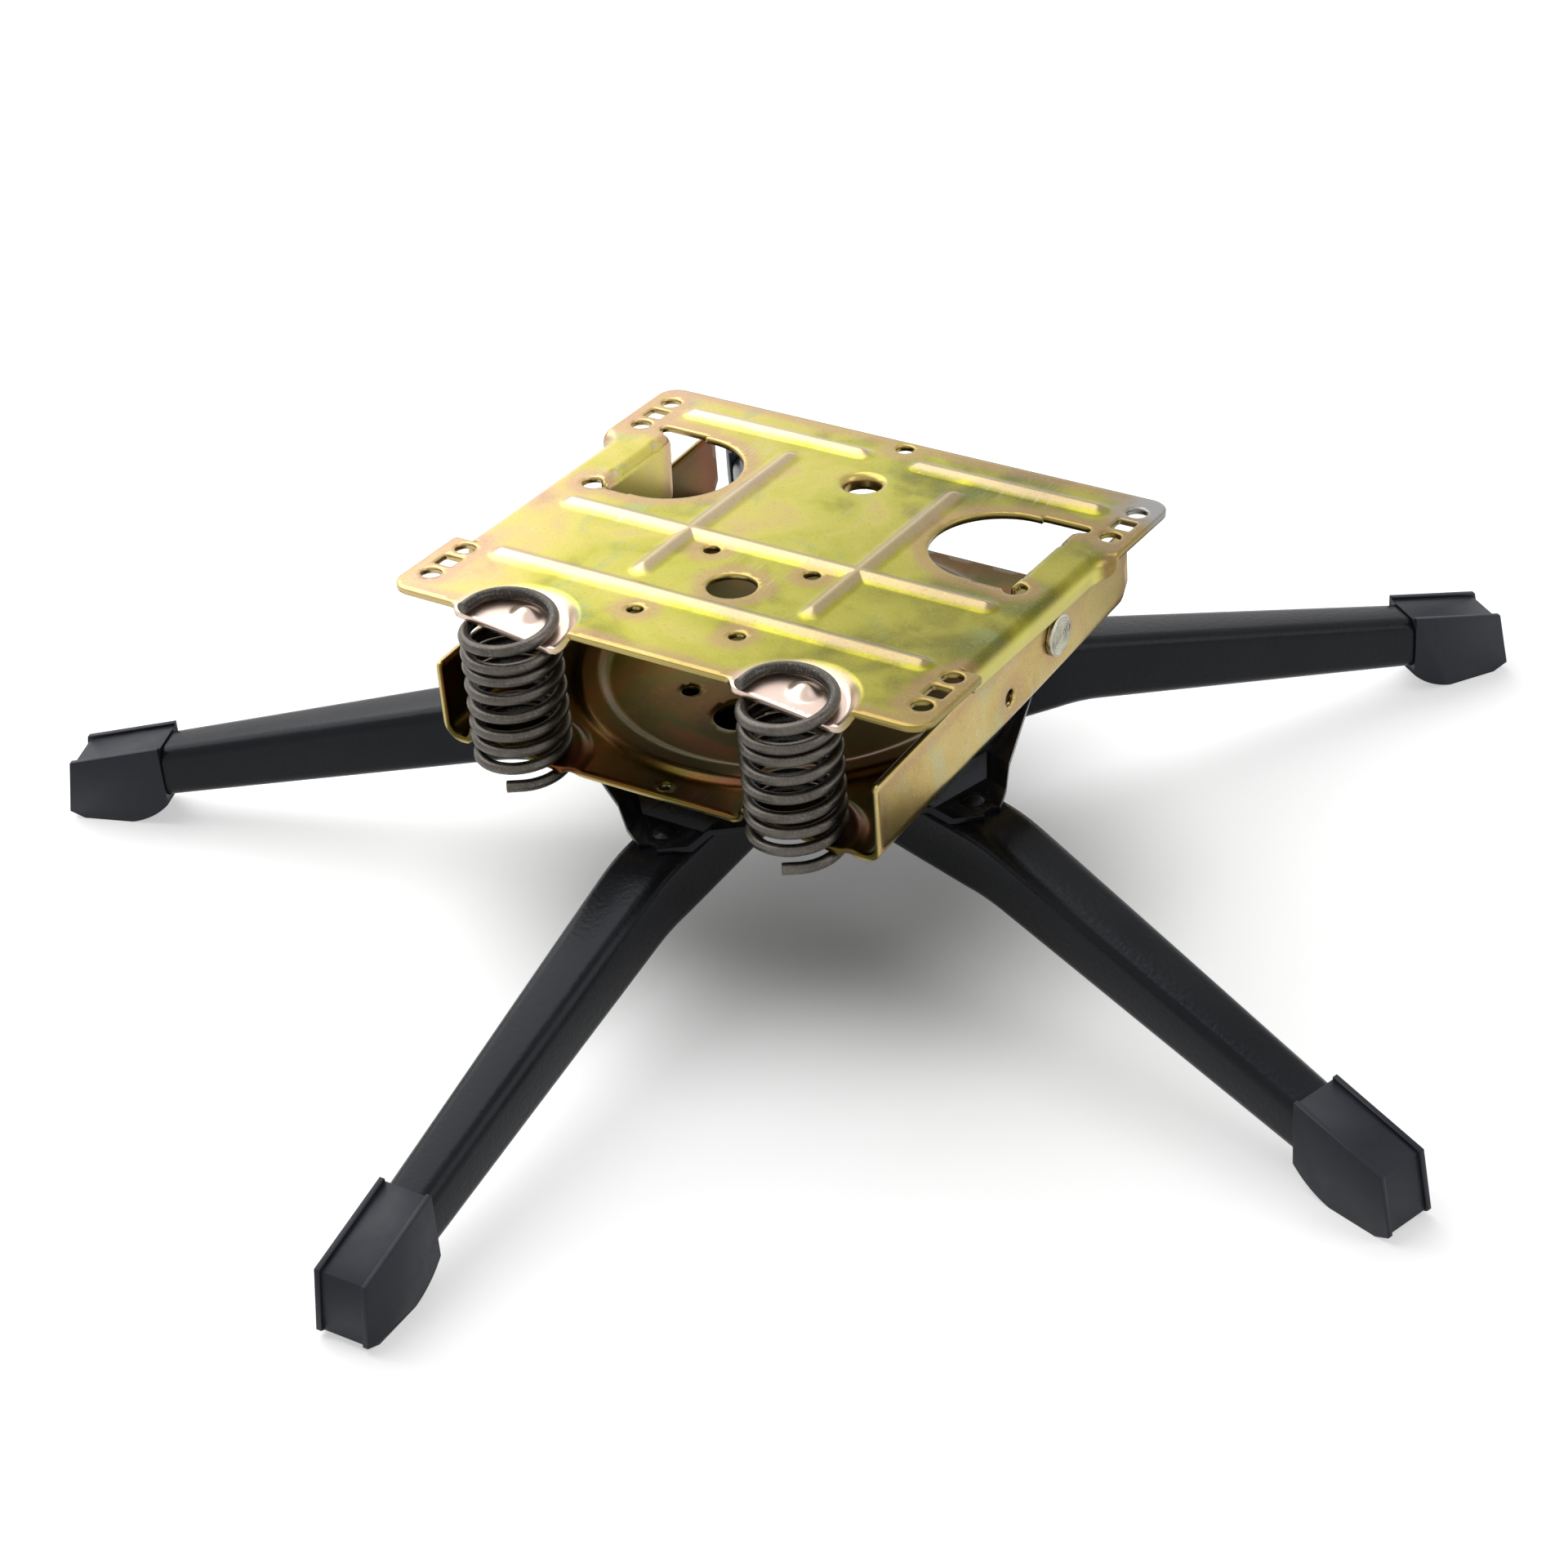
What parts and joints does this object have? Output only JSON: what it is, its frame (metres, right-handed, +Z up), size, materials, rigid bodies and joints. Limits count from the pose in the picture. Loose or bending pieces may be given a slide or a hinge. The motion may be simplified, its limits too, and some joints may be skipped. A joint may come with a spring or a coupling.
{
  "type": "office chair tilt mechanism with base",
  "caption": "Chair tilt mechanism: plated seat plate hinged in a steel channel, held by hooked coil springs, swivelling on a ball race over a star base of tapering legs.",
  "frame": {"origin": "where the swivel axis meets the floor, on the plane of the foot caps' soles", "axes": "+Z up along the swivel axis; -Y to the front, where the springs are; +X to the right of someone looking from the front, and the tilt axis lies along X"},
  "size_m": [0.6302, 0.5993, 0.1663],
  "materials": {
    "yellow_zinc": "yellow zinc chromate on pressed steel, iridescent",
    "black_paint": "semi-gloss black powder coat",
    "black_paint_rivets": "semi-gloss black, painted over",
    "black_plastic": "moulded satin black",
    "spring_steel": "dark oil-tempered wire, satin",
    "steel_rivet": "bright, orbitally formed head",
    "steel_pin": "zinc plated",
    "bearing_steel": "polished balls",
    "pale_plastic": "natural nylon"
  },
  "bodies": {
    "base": {"leg_front": "black_paint", "leg_front_right": "black_paint", "leg_rear_right": "black_paint", "leg_rear_left": "black_paint", "leg_front_left": "black_paint", "foot_cap_front": "black_plastic", "foot_cap_front_right": "black_plastic", "foot_cap_rear_right": "black_plastic", "foot_cap_rear_left": "black_plastic", "foot_cap_front_left": "black_plastic", "hub_plate": "black_paint", "hub_rivets": "black_paint_rivets", "king_pin": "steel_pin", "king_washer": "steel_pin"},
    "cage": {"race_balls": "bearing_steel", "ball_cage": "pale_plastic"},
    "housing": {"tilt_housing": "yellow_zinc", "king_bush": "pale_plastic", "pivot_rivet_right": "steel_rivet", "pivot_rivet_left": "steel_rivet", "pivot_washer_right": "steel_pin", "pivot_washer_left": "steel_pin", "tilt_spring_left": "spring_steel", "tilt_spring_right": "spring_steel"},
    "seat": {"seat_plate": "yellow_zinc", "pivot_bush_right": "pale_plastic", "pivot_bush_left": "pale_plastic"}
  },
  "joints": [
    {"name": "swivel", "type": "hinge", "parent": "base", "child": "housing", "pos_m": [0, 0, 0.09], "axis": [0, 0, 1], "continuous": true},
    {"name": "cage_turn", "type": "hinge", "parent": "base", "child": "cage", "pos_m": [0, 0, 0.09], "axis": [0, 0, 1], "continuous": true},
    {"name": "tilt", "type": "hinge", "parent": "housing", "child": "seat", "pos_m": [0, 0.0354, 0.1183], "axis": [-1, 0, 0], "range_deg": [-4, 12], "stiffness_Nm_per_rad": 650, "deforming": ["tilt_spring_left", "tilt_spring_right"]}
  ],
  "couplings": [
    {"joint": "cage_turn", "follows": "swivel", "ratio": 0.5}
  ]
}
